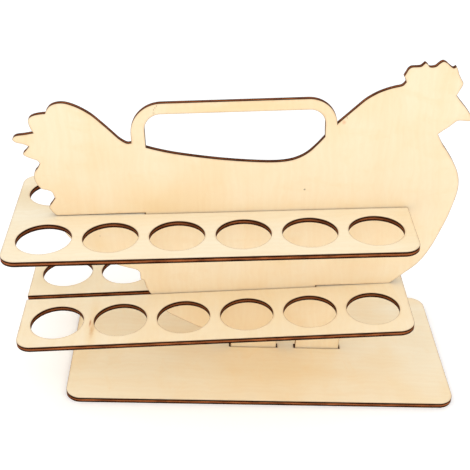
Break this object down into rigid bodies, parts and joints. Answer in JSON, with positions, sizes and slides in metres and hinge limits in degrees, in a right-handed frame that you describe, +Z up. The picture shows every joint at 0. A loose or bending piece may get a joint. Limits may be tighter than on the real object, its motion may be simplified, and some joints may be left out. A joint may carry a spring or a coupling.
{
  "type": "egg holder",
  "caption": "Two-tier rack for loose eggs: slot-together plywood boards with rows of round egg holes around an upright hen-shaped panel with a carrying handle.",
  "frame": {"origin": "on the foot board's underside, which rests on the table, in line with the hen panel and midway between its two feet", "axes": "+Z up, +X along the rack from the hen's tail to its beak, +Y from the front egg rows to the back ones"},
  "size_m": [0.3373, 0.14, 0.2539],
  "materials": {
    "hen_plywood": "satin",
    "tray_plywood": "satin",
    "foot_plywood": "satin"
  },
  "bodies": {
    "foot": {"foot_board": "foot_plywood"},
    "panel": {"hen_panel": "hen_plywood"},
    "upper": {"upper_tray": "tray_plywood"},
    "lower": {"lower_tray": "tray_plywood"}
  },
  "joints": [
    {"name": "panel_lift", "type": "slide", "parent": "foot", "child": "panel", "axis": [0, 0, 1], "range_m": [0, 0.03]},
    {"name": "upper_tray_slide", "type": "slide", "parent": "panel", "child": "upper", "axis": [-0.9978, 0, -0.0663], "range_m": [0, 0.27]},
    {"name": "lower_tray_slide", "type": "slide", "parent": "panel", "child": "lower", "axis": [0.9978, 0, 0.0663], "range_m": [0, 0.3]}
  ]
}
